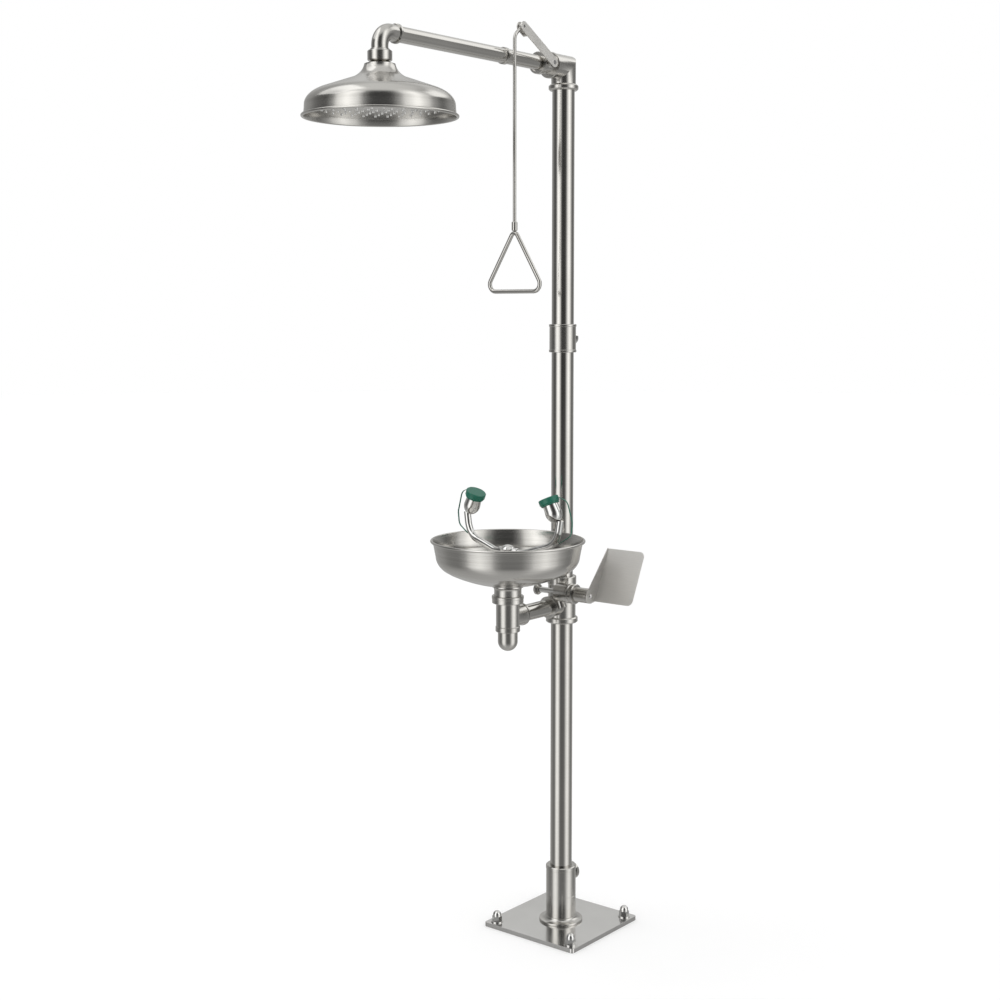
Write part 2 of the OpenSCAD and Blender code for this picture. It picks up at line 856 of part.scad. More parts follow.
nozzle_foot = [nozzle_out, 0, bowl_rim_z + nozzle_up];
tube_end = [nozzle_out + 9, 0, bowl_rim_z + nozzle_up + 5];
outlet_route = route([
    [19, 0, outlet_z],
    [nozzle_out - 100, 0, outlet_z],
    [nozzle_out - 56, 0, outlet_z + 14],
    [nozzle_out - 8, 0, outlet_z + 28],
    [nozzle_out + 4, 0, nozzle_foot.z - 27],
    tube_end], 50, 9);

module at_nozzle() {
    translate(nozzle_foot) rotate([0, -nozzle_lean, 0]) children();
}

module gooseneck(side) {
    color(polished)
        at_bowl() one_side(side) sweep(outlet_route, neck_tube_r, neck_tube_r, [0, 1, 0], 20);
}

module left_gooseneck() {
    gooseneck(-1);
}

module right_gooseneck() {
    gooseneck(1);
}

// The nozzle's outer line: an egg-shaped foot, then a slight taper to the mouth
function nozzle_line(grow) =
    concat(ellipse_arc(0, 26, nozzle_d / 2 + grow, 26 + grow, -90, 0, 12),
        [[nozzle_d / 2 - 3 + grow, nozzle_h]]);

module nozzle(side) {
    color(polished)
        at_bowl()
            one_side(side)
                difference() {
                    at_nozzle()
                        difference() {
                            rotate_extrude() polygon(concat(nozzle_line(0), [[0, nozzle_h]]));
                            rotate_extrude()
                                polygon(concat(nozzle_line(-2), [[nozzle_d / 2 - 5, nozzle_h + 1],
                                    [0, nozzle_h + 1]]));
                        }
                    translate([tube_end.x - 1, 0, nozzle_foot.z - 12]) rotate([0, 9, 0])
                        rod(neck_tube_r + 1.8, -8, 20);
                }
}

module left_nozzle() {
    nozzle(-1);
}

module right_nozzle() {
    nozzle(1);
}

module spray_inserts() {
    r = nozzle_d / 2 - 5 - fit_gap;
    color(green)
        at_bowl()
            outlet_sides()
                at_nozzle()
                    difference() {
                        rod(r, nozzle_h - 5, nozzle_h - 1);
                        for (a = [0:60:300])
                            rotate([0, 0, a]) translate([r * 0.6, 0, 0]) rod(1.5, nozzle_h - 6, nozzle_h);
                    }
}

module dust_cap(side) {
    r = cap_d / 2;
    top = nozzle_h + run_gap + 5;
    seat_r = nozzle_d / 2 - 3 + 1.6 + run_gap;
    color(green)
        at_bowl()
            one_side(side)
                at_nozzle()
                    difference() {
                        union() {
                            collar(r, top - cap_h + 4, top, 1.5);
                            rod(r - 2.5, top - cap_h, top - cap_h + 5);
                        }
                        rod(seat_r, top - cap_h - 1, nozzle_h + run_gap);
                    }
}

module left_dust_cap() {
    dust_cap(-1);
}

module right_dust_cap() {
    dust_cap(1);
}

// The strap runs from a clip on the gooseneck out and up to the cap's edge
strap_foot = [nozzle_out - 8 + neck_tube_r + 5, 0, outlet_z + 34];
strap_head = nozzle_foot
    + [cos(nozzle_lean) * (cap_d / 2 + 1.4) - sin(nozzle_lean) * (nozzle_h - 2), 0,
        cos(nozzle_lean) * (nozzle_h - 2) + sin(nozzle_lean) * (cap_d / 2 + 1.4)];
strap_bow = nozzle_out + 45;

module cap_strap(side) {
    color(green)
        at_bowl()
            one_side(side)
                sweep(route([
                    strap_foot,
                    [strap_bow - 4, 0, strap_foot.z + 22],
                    [strap_bow, 0, nozzle_foot.z + 2],
                    [strap_bow - 16, 0, strap_head.z - 8],
                    strap_head], 22, 6), strap_w / 2, strap_t / 2, [0, 1, 0], 8);
}

module left_cap_strap() {
    cap_strap(-1);
}

module right_cap_strap() {
    cap_strap(1);
}

// ---- Shower elbow, valve and arm ----

module top_elbow() {
    color(steel)
        difference() {
            union() {
                rod(elbow_r, elbow_foot_z + 2, arm_z);
                collar(elbow_r + 7, elbow_foot_z, elbow_foot_z + collar_h, 4);
                along_x(arm_z) {
                    rod(elbow_r, 0, elbow_reach - 2);
                    collar(elbow_r + 1.5, elbow_reach - 8, elbow_reach, 1.5);
                }
                intersection() {
                    rod(elbow_r, arm_z - 1, arm_z + elbow_r);
                    along_x(arm_z) rod(elbow_r, -elbow_r, elbow_r);
                    translate([0, 0, arm_z]) sphere(r = elbow_r * 1.24);
                }
            }
            rod(post_bore_r, elbow_foot_z - 1, arm_z);
            translate([0, 0, arm_z]) sphere(r = post_bore_r);
            rod(socket_r, elbow_foot_z - 1, upper_pipe_z1);
            along_x(arm_z) {
                rod(arm_r - arm_wall, 0, elbow_reach + 1);
                rod(arm_socket_r, valve_spigot_x, elbow_reach + 1);
            }
        }
}

module shower_valve_body() {
    color(steel)
        difference() {
            union() {
                along_x(arm_z) {
                    rod(arm_r, valve_spigot_x, elbow_reach + 1);
                    rod(valve_r, elbow_reach, valve_mouth_x - 2);
                    collar(valve_r + 4, valve_mouth_x - 16, valve_mouth_x, 1.5);
                }
                along_y(stem_x, arm_z) rod(boss_r, 0, boss_y);
            }
            along_x(arm_z) {
                rod(arm_r - arm_wall, valve_spigot_x - 1, stem_x);
                rod(cavity_r, stem_x - cavity_r, nipple_x0);
                rod(arm_socket_r, nipple_x0, valve_mouth_x + 1);
                rod(arm_r + 4, valve_mouth_x - 4, valve_mouth_x + 1);
            }
            along_y(stem_x, arm_z) rod(stem_pin_r + turn_gap, 0, boss_y + 1);
        }
}

module shower_ball() {
    color(polished)
        translate([stem_x, 0, arm_z])
            difference() {
                sphere(r = ball_r);
                cylinder(r = ball_bore_r, h = 3 * ball_r, center = true);
            }
}

module ball_seats() {
    color(black)
        translate([stem_x, 0, arm_z])
            for (side = [0, 180])
                rotate([0, 90, side])
                    difference() {
                        tube(cavity_r - fit_gap, ball_bore_r, seat_x, cavity_r - fit_gap);
                        sphere(r = ball_r + run_gap);
                    }
}

module shower_stem() {
    color(polished)
        along_y(stem_x, arm_z)
            difference() {
                rod(stem_pin_r, ball_bore_r + 1, lever_end_y - 1);
                translate([0, 0, -1]) sphere(r = ball_r + 1);
            }
}

// A flat strip between two round ends, from the stem end or along the lever
module lever_strip(x0, x1, r, t) {
    union() {
        translate([x0, 0, 0]) cylinder(r = r, h = t);
        translate([x1, 0, 0]) cylinder(r = r, h = t);
        translate([x0, -r, 0]) cube([x1 - x0, 2 * r, t]);
    }
}

// Places a flat piece drawn in X and Y, thickness up, on the lever's plane
module on_lever(y) {
    translate([stem_x, y, arm_z]) rotate([0, -lever_rise, 0]) rotate([90, 0, 0])
        mirror([0, 0, 1]) children();
}

module shower_lever() {
    color(steel)
        on_lever(lever_y)
            difference() {
                lever_strip(0, lever_l, lever_w / 2, lever_t);
                rod(stem_pin_r + fit_gap, -1, lever_t + 1);
                translate([lever_l, 0, 0]) rod(pin_r + fit_gap, -1, lever_t + 1);
            }
}

// The inner fork plate, with the spacer that holds it off the lever
module lever_clevis() {
    reach = 16;
    color(steel)
        on_lever(clevis_y)
            difference() {
                union() {
                    lever_strip(lever_l - reach, lever_l, lever_w / 2, clevis_t);
                    translate([lever_l - reach - 9, -lever_w / 2, 0])
                        cube([6, lever_w, lever_y - clevis_y]);
                    translate([lever_l - reach - 6, -lever_w / 2, 0])
                        cube([8, lever_w, clevis_t]);
                }
                translate([lever_l, 0, 0]) rod(pin_r + fit_gap, -1, clevis_t + 1);
            }
}

module rod_pin() {
    color(polished)
        along_y(pin_x, pin_z) tube(pin_r, 1.6, clevis_y + 0.3, lever_end_y - 0.8);
}

// The rod hangs straight, then bends back to the eye on its pin
module pull_rod() {
    r = rod_d / 2;
    bend_r = 26;
    bend_a = 50;
    lead = (rod_offset - bend_r * (1 - cos(bend_a))) / sin(bend_a);
    bend_z = pin_z - bend_r * sin(bend_a) - lead * cos(bend_a);
    color(steel)
        difference() {
            union() {
                along_y(pin_x, pin_z)
                    rod(pin_r + 4.5, rod_y - rod_eye_t / 2, rod_y + rod_eye_t / 2);
                translate([pin_x, rod_y, pin_z])
                    rotate([0, 180 - bend_a, 0]) rod(r, pin_r + 2, lead);
                translate([rod_x - bend_r, rod_y, bend_z])
                    rotate([90, 0, 0])
                        rotate_extrude(angle = bend_a) translate([bend_r, 0]) circle(r = r);
                translate([rod_x, rod_y, 0]) rod(r, handle_top_z + 10, bend_z);
            }
            along_y(pin_x, pin_z) rod(pin_r + turn_gap, rod_y - rod_d, rod_y + rod_d);
        }
}

module rod_ferrule() {
    r = rod_d / 2 + 3;
    color(steel)
        translate([rod_x, rod_y, 0])
            difference() {
                collar(r, handle_top_z, handle_top_z + ferrule_h, 2);
                rod(rod_d / 2 + fit_gap, handle_top_z + 10, handle_top_z + ferrule_h + 1);
            }
}

module pull_handle() {
    half = handle_w / 2 - handle_d / 2;
    z0 = handle_z + handle_d / 2;
    z1 = handle_top_z - handle_d / 2;
    foot_r = 19;
    apex_r = 11;
    spread = 13;
    color(steel)
        translate([rod_x, rod_y, 0])
            sweep(loop_route([[0, -half - spread, z0], [0, half + spread, z0], [0, 0, z1 + apex_r - 0.8]],
                [foot_r, foot_r, apex_r], 8),
                handle_d / 2, handle_d / 2, [1, 0, 0], 16, closed = true);
}

module outlet_nipple() {
    color(steel) along_x(arm_z) tube(arm_r, arm_r - arm_wall, nipple_x0, arm_joint_x - 1);
}

module arm_joint_ring() {
    color(steel)
        along_x(arm_z)
            difference() {
                collar(arm_r + 2.6, arm_joint_x - 6, arm_joint_x + 6, 1);
                rod(arm_socket_r, arm_joint_x - 7, arm_joint_x + 7);
            }
}

module shower_arm() {
    color(steel)
        along_x(arm_z) tube(arm_r, arm_r - arm_wall, arm_joint_x, head_elbow_x - 8);
}

module head_elbow() {
    r = head_tube_r;
    wall_r = arm_r - arm_wall;
    color(steel)
        difference() {
            union() {
                along_x(arm_z) {
                    rod(r, head_elbow_x - 20, head_elbow_x);
                    collar(r + 3.5, head_elbow_x - 26, head_elbow_x - 16, 2);
                }
                bend(r);
                translate([head_x, 0, 0]) rod(r, elbow_tail_z, arm_z - head_bend_r);
            }
            along_x(arm_z) {
                rod(wall_r, head_elbow_x - 30, head_elbow_x + eps);
                rod(arm_socket_r, head_elbow_x - 30, head_elbow_x - 8);
            }
            bend(wall_r);
            translate([head_x, 0, 0]) rod(wall_r, elbow_tail_z - 1, arm_z - head_bend_r + eps);
        }
}

// The quarter bend of the head elbow
module bend(r) {
    translate([head_elbow_x, 0, arm_z - head_bend_r])
        rotate([90, 0, 0]) rotate_extrude(angle = 90) translate([head_bend_r, 0]) circle(r = r);
}

module head_union_nut() {
    r = head_nut_od / 2;
    color(steel)
        translate([head_x, 0, 0])
            difference() {
                union() {
                    collar(r, elbow_tail_z - head_nut_h + 6, elbow_tail_z + 6, 2);
                    collar(head_tube_r + 3, elbow_tail_z + 5, elbow_tail_z + 10, 1);
                }
                rod(head_tube_r + fit_gap, elbow_tail_z, elbow_tail_z + 11);
                rod(18, elbow_tail_z - head_nut_h, elbow_tail_z + 1);
                rod(bell_neck_r + fit_gap, elbow_tail_z - head_nut_h, elbow_tail_z - 4);
            }
}

// The bell's outer line: an upright neck, a hollow sweep and a full shoulder down to the rim
bell_line = concat(
    [[bell_neck_r, bell_top_z + 12], [bell_neck_r, bell_top_z + 3], [bell_neck_r + 3, bell_top_z]],
    ellipse_arc(88, bell_top_z + 2, 52, 42, 188, 245, 12),
    ellipse_arc(100, bell_rim_z + 24, bell_r - 104.5, 45, 62, 6, 16),
    [[bell_r - 4, bell_rim_z + 14], [bell_r - 3, bell_rim_z]]);

module shower_bell() {
    color(steel)
        translate([head_x, 0, 0]) {
            rotate_extrude($fn = 96) polygon(concat(bell_line, inset(bell_line, -bell_t)));
            translate([0, 0, bell_rim_z]) rotate_extrude($fn = 96)
                translate([bell_r, 0]) circle(r = rim_bead_d / 2, $fn = 24);
        }
}

module spray_plate() {
    color(steel)
        translate([head_x, 0, 0])
            difference() {
                rod(spray_plate_r, spray_z, spray_z + 1.5);
                for (ring = [1:spray_rings], k = [1:6 * ring])
                    rotate([0, 0, k * 60 / ring])
                        translate([spray_r * ring / (spray_rings + 1), 0, 0])
                            rod(spray_hole_d / 2, spray_z - 1, spray_z + 3);
            }
}

base_plate();
anchor_washers();
anchor_cap_nuts();
base_flange();
base_socket();
foot_nipple();
inlet_tee();
lower_pipe();
valve_tee();
middle_pipe();
mid_coupling();
coupling_plug();
upper_pipe();
top_elbow();
shower_valve_body();
shower_ball();
ball_seats();
shower_stem();
shower_lever();
lever_clevis();
rod_pin();
pull_rod();
rod_ferrule();
pull_handle();
outlet_nipple();
arm_joint_ring();
shower_arm();
head_elbow();
head_union_nut();
shower_bell();
spray_plate();
feed_pipe();
bowl_tee();
trap_cup();
neck_union_ring();
bowl_neck();
bowl_gasket();
bowl();
riser();
bowl_strainer();
manifold();
left_gooseneck();
right_gooseneck();
left_nozzle();
right_nozzle();
spray_inserts();
left_dust_cap();
right_dust_cap();
left_cap_strap();
right_cap_strap();
valve_rotor();
spindle_knob();
gland_packing();
gland_nut();
paddle_sleeve();
push_paddle();
paddle_screw();
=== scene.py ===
import json
import math
import bmesh
import bpy
from mathutils import Matrix, Vector

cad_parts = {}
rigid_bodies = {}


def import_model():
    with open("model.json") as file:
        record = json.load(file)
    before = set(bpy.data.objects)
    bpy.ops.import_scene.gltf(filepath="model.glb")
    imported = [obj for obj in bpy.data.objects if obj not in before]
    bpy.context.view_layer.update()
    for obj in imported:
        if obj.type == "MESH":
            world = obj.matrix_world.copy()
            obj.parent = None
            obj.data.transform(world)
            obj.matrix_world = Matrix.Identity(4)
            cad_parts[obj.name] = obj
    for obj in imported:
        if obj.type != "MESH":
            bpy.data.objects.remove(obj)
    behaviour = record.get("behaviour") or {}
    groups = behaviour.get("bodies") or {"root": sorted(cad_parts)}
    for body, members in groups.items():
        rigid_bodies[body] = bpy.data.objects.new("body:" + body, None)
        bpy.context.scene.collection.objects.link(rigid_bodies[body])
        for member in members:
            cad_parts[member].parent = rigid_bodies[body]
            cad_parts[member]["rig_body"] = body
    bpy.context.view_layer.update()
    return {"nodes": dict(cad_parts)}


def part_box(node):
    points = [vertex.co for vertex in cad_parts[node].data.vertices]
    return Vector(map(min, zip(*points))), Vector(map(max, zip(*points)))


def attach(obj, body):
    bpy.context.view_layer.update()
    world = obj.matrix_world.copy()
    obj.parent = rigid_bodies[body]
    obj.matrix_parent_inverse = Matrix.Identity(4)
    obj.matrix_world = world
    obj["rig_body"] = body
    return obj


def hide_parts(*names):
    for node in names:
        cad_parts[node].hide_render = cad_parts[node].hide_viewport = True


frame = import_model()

nodes = frame["nodes"]
scene = bpy.context.scene

# ---- Camera and studio ----
# The shower is seen from the paddle side, a little above eye height, from a
# little over four metres away. Reflections alone see the studio's tall soft
# lights and dark gaps; every other ray sees even white.
eye = Vector((3.4002, 2.5292, 1.7043))
look_turn = math.radians(51.051)
look_down = math.radians(4.672)

cam_data = bpy.data.cameras.new("camera")
cam_data.sensor_width = 36.0
cam_data.lens = 55.95
cam_data.shift_y = -0.06
cam_data.clip_start = 0.05
cam_data.clip_end = 100.0
camera = bpy.data.objects.new("camera", cam_data)
scene.collection.objects.link(camera)
level = Vector((-math.sin(look_turn), -math.cos(look_turn), 0.0))
ahead = level * math.cos(look_down) - Vector((0, 0, math.sin(look_down)))
camera.location = eye
camera.rotation_mode = "QUATERNION"
camera.rotation_quaternion = ahead.to_track_quat("-Z", "Y")
scene.camera = camera
scene.view_settings.view_transform = "Standard"
scene.view_settings.look = "None"


def math_node(tree, operation, *values):
    """A Math node; each value is a number or a socket."""
    n = tree.nodes.new("ShaderNodeMath")
    n.operation = operation
    for i, v in enumerate(values):
        if isinstance(v, (int, float)):
            n.inputs[i].default_value = v
        else:
            tree.links.new(v, n.inputs[i])
    return n.outputs[0]


blue_share = 0.985  # the light is a touch short of blue
mix_a, mix_b, mix_result = 6, 7, 2  # the colour sockets of a Mix node


def ramp_node(tree, fac, stops):
    """A colour ramp of grey stops, each (place, grey)."""
    n = tree.nodes.new("ShaderNodeValToRGB")
    n.color_ramp.interpolation = "EASE"
    while len(n.color_ramp.elements) < len(stops):
        n.color_ramp.elements.new(0.5)
    for e, (place, grey) in zip(n.color_ramp.elements, stops):
        e.position = place
        e.color = (grey, grey, grey * blue_share, 1.0)
    tree.links.new(fac, n.inputs[0])
    return n.outputs[0]


world = bpy.data.worlds.new("studio")
scene.world = world
world.use_nodes = True
wt = world.node_tree
wt.nodes.clear()
wn, wl = wt.nodes, wt.links
way = wn.new("ShaderNodeTexCoord").outputs["Generated"]
parts = wn.new("ShaderNodeSeparateXYZ")
wl.new(way, parts.inputs[0])
right = Vector((-math.cos(look_turn), math.sin(look_turn), 0.0))
towards = math_node(wt, "ADD",
    math_node(wt, "MULTIPLY", parts.outputs[0], -level.x),
    math_node(wt, "MULTIPLY", parts.outputs[1], -level.y))
across = math_node(wt, "ADD",
    math_node(wt, "MULTIPLY", parts.outputs[0], right.x),
    math_node(wt, "MULTIPLY", parts.outputs[1], right.y))
round_about = math_node(wt, "MULTIPLY_ADD", math_node(wt, "ARCTAN2", across, towards),
                        0.5 / math.pi, 0.5)
# Brightness round the room, by the angle from the camera's side: a dark gap at
# the camera between two tall softboxes, and dim walls behind.
walls = [(-180, 0.50), (-135, 0.36), (-100, 0.14), (-86, 0.10), (-74, 0.30), (-61, 1.3),
         (-47, 1.70), (-32, 1.2), (-19, 0.22), (-9, 0.05), (21, 0.06), (33, 0.36),
         (46, 1.15), (64, 1.65), (80, 1.05), (95, 0.36), (112, 0.15), (140, 0.36), (180, 0.50)]
full = 1.7  # the brightest wall; the ramps hold shares of it
ground_grey, ceiling_grey, strip_grey = 0.52, 0.80, 1.35
room = ramp_node(wt, round_about,
                 [((turn + 180) / 360, value / full) for turn, value in walls])
rise = math_node(wt, "MULTIPLY_ADD", parts.outputs[2], 0.5, 0.5)


def shade_over(tree, under, fac, grey):
    """Lays a grey over a colour by a factor."""
    n = tree.nodes.new("ShaderNodeMix")
    n.data_type = "RGBA"
    n.inputs[mix_b].default_value = (grey, grey, grey * blue_share, 1)
    tree.links.new(fac, n.inputs[0])
    tree.links.new(under, n.inputs[mix_a])
    return n.outputs[mix_result]


ground_fade = ramp_node(wt, rise, [(0.0, 1.0), (0.10, 0.85), (0.30, 0.34), (0.40, 0.20),
                                   (0.48, 0.0)])
ground = shade_over(wt, room, ground_fade, ground_grey / full)
ceiling_fade = ramp_node(wt, rise, [(0.84, 0.0), (0.97, 1.0)])
lit = shade_over(wt, ground, ceiling_fade, ceiling_grey / full)
# A long soft strip hangs high behind and to the right.
strip = math_node(wt, "MULTIPLY",
    ramp_node(wt, rise, [(0.66, 0.0), (0.73, 1.0), (0.84, 1.0), (0.91, 0.0)]),
    ramp_node(wt, round_about, [(0.0, 0.25), (0.10, 0.0), (0.74, 0.0), (0.79, 1.0),
                                (0.86, 1.0), (0.94, 0.35), (1.0, 0.25)]))
hung = shade_over(wt, lit, strip, strip_grey / full)
studio = wn.new("ShaderNodeBackground")
studio.inputs[1].default_value = full
wl.new(hung, studio.inputs[0])
white = wn.new("ShaderNodeBackground")
white.inputs[0].default_value = (1, 1, 1, 1)
white.inputs[1].default_value = 1.0
path = wn.new("ShaderNodeLightPath")
pick = wn.new("ShaderNodeMixShader")
wl.new(path.outputs["Is Glossy Ray"], pick.inputs[0])
wl.new(white.outputs[0], pick.inputs[1])
wl.new(studio.outputs[0], pick.inputs[2])
out = wn.new("ShaderNodeOutputWorld")
wl.new(pick.outputs[0], out.inputs[0])

floor_r, floor_glow = 30.0, 0.075
floor_mesh = bpy.data.meshes.new("floor")
bm = bmesh.new()
bmesh.ops.create_circle(bm, cap_ends=True, segments=96, radius=floor_r)
bm.to_mesh(floor_mesh)
bm.free()
floor = bpy.data.objects.new("floor", floor_mesh)
scene.collection.objects.link(floor)
floor_mat = bpy.data.materials.new("pale_floor")
floor_mat.use_nodes = True
fb = floor_mat.node_tree.nodes["Principled BSDF"]
fb.inputs["Base Color"].default_value = (0.93, 0.93, 0.93, 1)
fb.inputs["Roughness"].default_value = 0.9
fb.inputs["Specular IOR Level"].default_value = 0.0
fb.inputs["Emission Color"].default_value = (1, 1, 1, 1)
fb.inputs["Emission Strength"].default_value = floor_glow
floor_mesh.materials.append(floor_mat)
floor.visible_glossy = False

key = bpy.data.lights.new("key", "AREA")
key.shape = "RECTANGLE"
key.size, key.size_y = 2.5, 2.5
key.energy = 16.0
key_ob = bpy.data.objects.new("key", key)
key_ob.location = (1.8, -1.6, 4.6)
key_aim = Vector((0.2, 0, 1.0))
key_ob.rotation_mode = "QUATERNION"
key_ob.rotation_quaternion = (key_aim - key_ob.location).to_track_quat("-Z", "Y")
scene.collection.objects.link(key_ob)

# ---- Brushed and polished stainless ----
# The tubes are drawn stainless steel, belt-polished round, so the fine lines
# run round each tube. The sheet parts are satin ground and the small turned
# fittings are buffed bright. The plate, lever and paddle steels are painted
# lighter than the tubes, as painted light on their flat faces.


def blank(name):
    """A material with an empty Principled shader, and its tree."""
    m = bpy.data.materials.new(name)
    m.use_nodes = True
    tree = m.node_tree
    return m, tree, tree.nodes["Principled BSDF"]


def object_place(tree, stretch=(1, 1, 1), centre=(0, 0, 0)):
    """Object coordinates, moved to a centre and stretched."""
    n = tree.nodes.new("ShaderNodeTexCoord")
    shift = tree.nodes.new("ShaderNodeVectorMath")
    shift.operation = "SUBTRACT"
    shift.inputs[1].default_value = centre
    tree.links.new(n.outputs["Object"], shift.inputs[0])
    scale = tree.nodes.new("ShaderNodeVectorMath")
    scale.operation = "MULTIPLY"
    scale.inputs[1].default_value = stretch
    tree.links.new(shift.outputs[0], scale.inputs[0])
    return scale.outputs[0]


def noise(tree, place, scale, detail=3.0, rough=0.55):
    """A noise from 0 to 1 at the given coordinates."""
    n = tree.nodes.new("ShaderNodeTexNoise")
    n.inputs["Scale"].default_value = scale
    n.inputs["Detail"].default_value = detail
    n.inputs["Roughness"].default_value = rough
    tree.links.new(place, n.inputs["Vector"])
    return n.outputs["Fac"]


def spread(tree, value, low, high):
    """Maps the middle of a noise to the range low to high."""
    n = tree.nodes.new("ShaderNodeMapRange")
    n.inputs["From Min"].default_value = 0.3
    n.inputs["From Max"].default_value = 0.7
    n.inputs["To Min"].default_value = low
    n.inputs["To Max"].default_value = high
    tree.links.new(value, n.inputs["Value"])
    return n.outputs[0]


def bump(tree, value, strength, depth):
    """A normal raised by a value, over a depth in metres."""
    n = tree.nodes.new("ShaderNodeBump")
    n.inputs["Strength"].default_value = strength
    n.inputs["Distance"].default_value = depth
    tree.links.new(value, n.inputs["Height"])
    return n.outputs[0]


def tint(tree, value, dark, light):
    """A colour between dark and light by a 0 to 1 value."""
    n = tree.nodes.new("ShaderNodeMix")
    n.data_type = "RGBA"
    n.inputs[mix_a].default_value = (*dark, 1)
    n.inputs[mix_b].default_value = (*light, 1)
    tree.links.new(value, n.inputs[0])
    return n.outputs[mix_result]


line_depth = 0.0002
line_share, cloud_share = 0.65, 0.35
ring_scale = 1400.0
cloud_scale = 9.0


def steel(name, stretch, dark, light, rough, line_bump, around=None):
    """Brushed stainless. The lines run across the strongest stretch; around is the axis of a
    spun part, whose lines are rings instead."""
    m, tree, shader = blank(name)
    shader.inputs["Metallic"].default_value = 1.0
    if around is None:
        lines = noise(tree, object_place(tree, stretch), 1.0, 4.0, 0.7)
    else:
        place = object_place(tree, (1, 1, 0), around)
        far = tree.nodes.new("ShaderNodeVectorMath")
        far.operation = "LENGTH"
        tree.links.new(place, far.inputs[0])
        line = tree.nodes.new("ShaderNodeTexNoise")
        line.noise_dimensions = "1D"
        line.inputs["Scale"].default_value = ring_scale
        line.inputs["Detail"].default_value = 4.0
        tree.links.new(far.outputs["Value"], line.inputs["W"])
        lines = line.outputs["Fac"]
    cloud = noise(tree, object_place(tree), cloud_scale, 2.0)
    mixed = math_node(tree, "ADD", math_node(tree, "MULTIPLY", lines, line_share),
                      math_node(tree, "MULTIPLY", cloud, cloud_share))
    colour = tint(tree, spread(tree, mixed, 0.0, 1.0), dark, light)
    tree.links.new(colour, shader.inputs["Base Color"])
    tree.links.new(spread(tree, mixed, rough * 0.86, rough * 1.18), shader.inputs["Roughness"])
    tree.links.new(bump(tree, lines, line_bump, line_depth), shader.inputs["Normal"])
    return m


warm_dark, warm_light = (0.545, 0.532, 0.508), (0.655, 0.642, 0.618)
tube_steel = steel("tube_steel", (60, 60, 1500), warm_dark, warm_light, 0.11, 0.006)
arm_steel = steel("arm_steel", (1500, 60, 60), warm_dark, warm_light, 0.11, 0.006)
fitting_steel = steel("fitting_steel", (90, 90, 1200), warm_dark, warm_light, 0.19, 0.012)
# The base plate's steel is painted lighter than the tubes': painted light standing in for the
# brighter light on the flat plate.
plate_steel_painted_light = steel("plate_steel_painted_light", (30, 1300, 30), (0.74, 0.732, 0.72), (0.84, 0.832, 0.82),
                    0.17, 0.03)
# The steel of the lever, clevis and paddle is painted lighter than the tubes': painted light
# standing in for a key light on their flat faces. Its high roughness is the satin finish.
lever_steel_painted_light = steel("lever_steel_painted_light", (40, 40, 900), (0.76, 0.745, 0.72), (0.86, 0.845, 0.82),
                    0.46, 0.05)


def polished(name, grey, rough):
    """Buffed bright stainless with faint wiping marks."""
    m, tree, shader = blank(name)
    shader.inputs["Metallic"].default_value = 1.0
    smear = noise(tree, object_place(tree, (1, 1, 0.4)), 60.0, 3.0)
    wiped = tuple(g * 0.94 for g in grey)
    colour = tint(tree, spread(tree, smear, 0.0, 1.0), wiped, grey)
    tree.links.new(colour, shader.inputs["Base Color"])
    tree.links.new(spread(tree, smear, rough * 0.6, rough * 1.5), shader.inputs["Roughness"])
    return m


bright_steel = polished("bright_steel", (0.80, 0.795, 0.785), 0.08)
rubber, rubber_tree, rubber_shader = blank("black_rubber")
grain = noise(rubber_tree, object_place(rubber_tree), 900.0)
rubber_tree.links.new(tint(rubber_tree, grain, (0.012, 0.012, 0.012), (0.03, 0.03, 0.03)),
                      rubber_shader.inputs["Base Color"])
rubber_tree.links.new(bump(rubber_tree, grain, 0.2, 0.0002), rubber_shader.inputs["Normal"])
rubber_shader.inputs["Roughness"].default_value = 0.65

# ---- Tubes, tees, couplings and fittings ----
# The post, arm and feed are cut tubes screwed into turned or cast fittings.
# Each is a welded copy of its own solid, shaded smooth round its curves; the
# seals inside the valves are black rubber.


def piece(name, bm, material, body, replaced=(), smooth_angle=32.0):
    """Makes the bmesh a finished piece: shaded smooth up to an angle, riding on its body."""
    bm.normal_update()
    for f in bm.faces:
        f.smooth = True
    limit = math.radians(smooth_angle)
    for e in bm.edges:
        e.smooth = len(e.link_faces) == 2 and e.calc_face_angle(0.0) < limit
    mesh = bpy.data.meshes.new(name)
    bm.to_mesh(mesh)
    bm.free()
    mesh.materials.append(material)
    ob = bpy.data.objects.new(name, mesh)
    scene.collection.objects.link(ob)
    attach(ob, body)
    if replaced:
        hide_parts(*replaced)
    return ob


weld_gap = 2e-6
flat_angle = math.radians(0.3)


def merged(node):
    """A welded copy of a CAD node's mesh, with its flat faces joined up."""
    bm = bmesh.new()
    bm.from_mesh(nodes[node].data)
    bmesh.ops.remove_doubles(bm, verts=bm.verts, dist=weld_gap)
    bmesh.ops.dissolve_limit(bm, angle_limit=flat_angle, verts=bm.verts, edges=bm.edges,
                             delimit=set())
    return bm


def broken_edges(bm, width, over=60.0, segments=2):
    """Rounds every edge sharper than an angle."""
    sharp = [e for e in bm.edges
             if len(e.link_faces) == 2 and e.calc_face_angle(0.0) > math.radians(over)]
    bmesh.ops.bevel(bm, geom=sharp, offset=width, offset_type="OFFSET", affect="EDGES",
                    segments=segments, profile=0.5, material=-1, clamp_overlap=True)


def body_of(node):
    return nodes[node]["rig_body"]


def skin(node, material, width=0.0):
    """Stands a smooth-shaded copy of a CAD node in its place, its edges broken by a width."""
    bm = merged(node)
    if width:
        broken_edges(bm, width)
    ob = piece(node + "_skin", bm, material, body_of(node), (node,))
    if width:
        flatter = ob.modifiers.new("flatter", "WEIGHTED_NORMAL")
        flatter.keep_sharp = True
    return ob


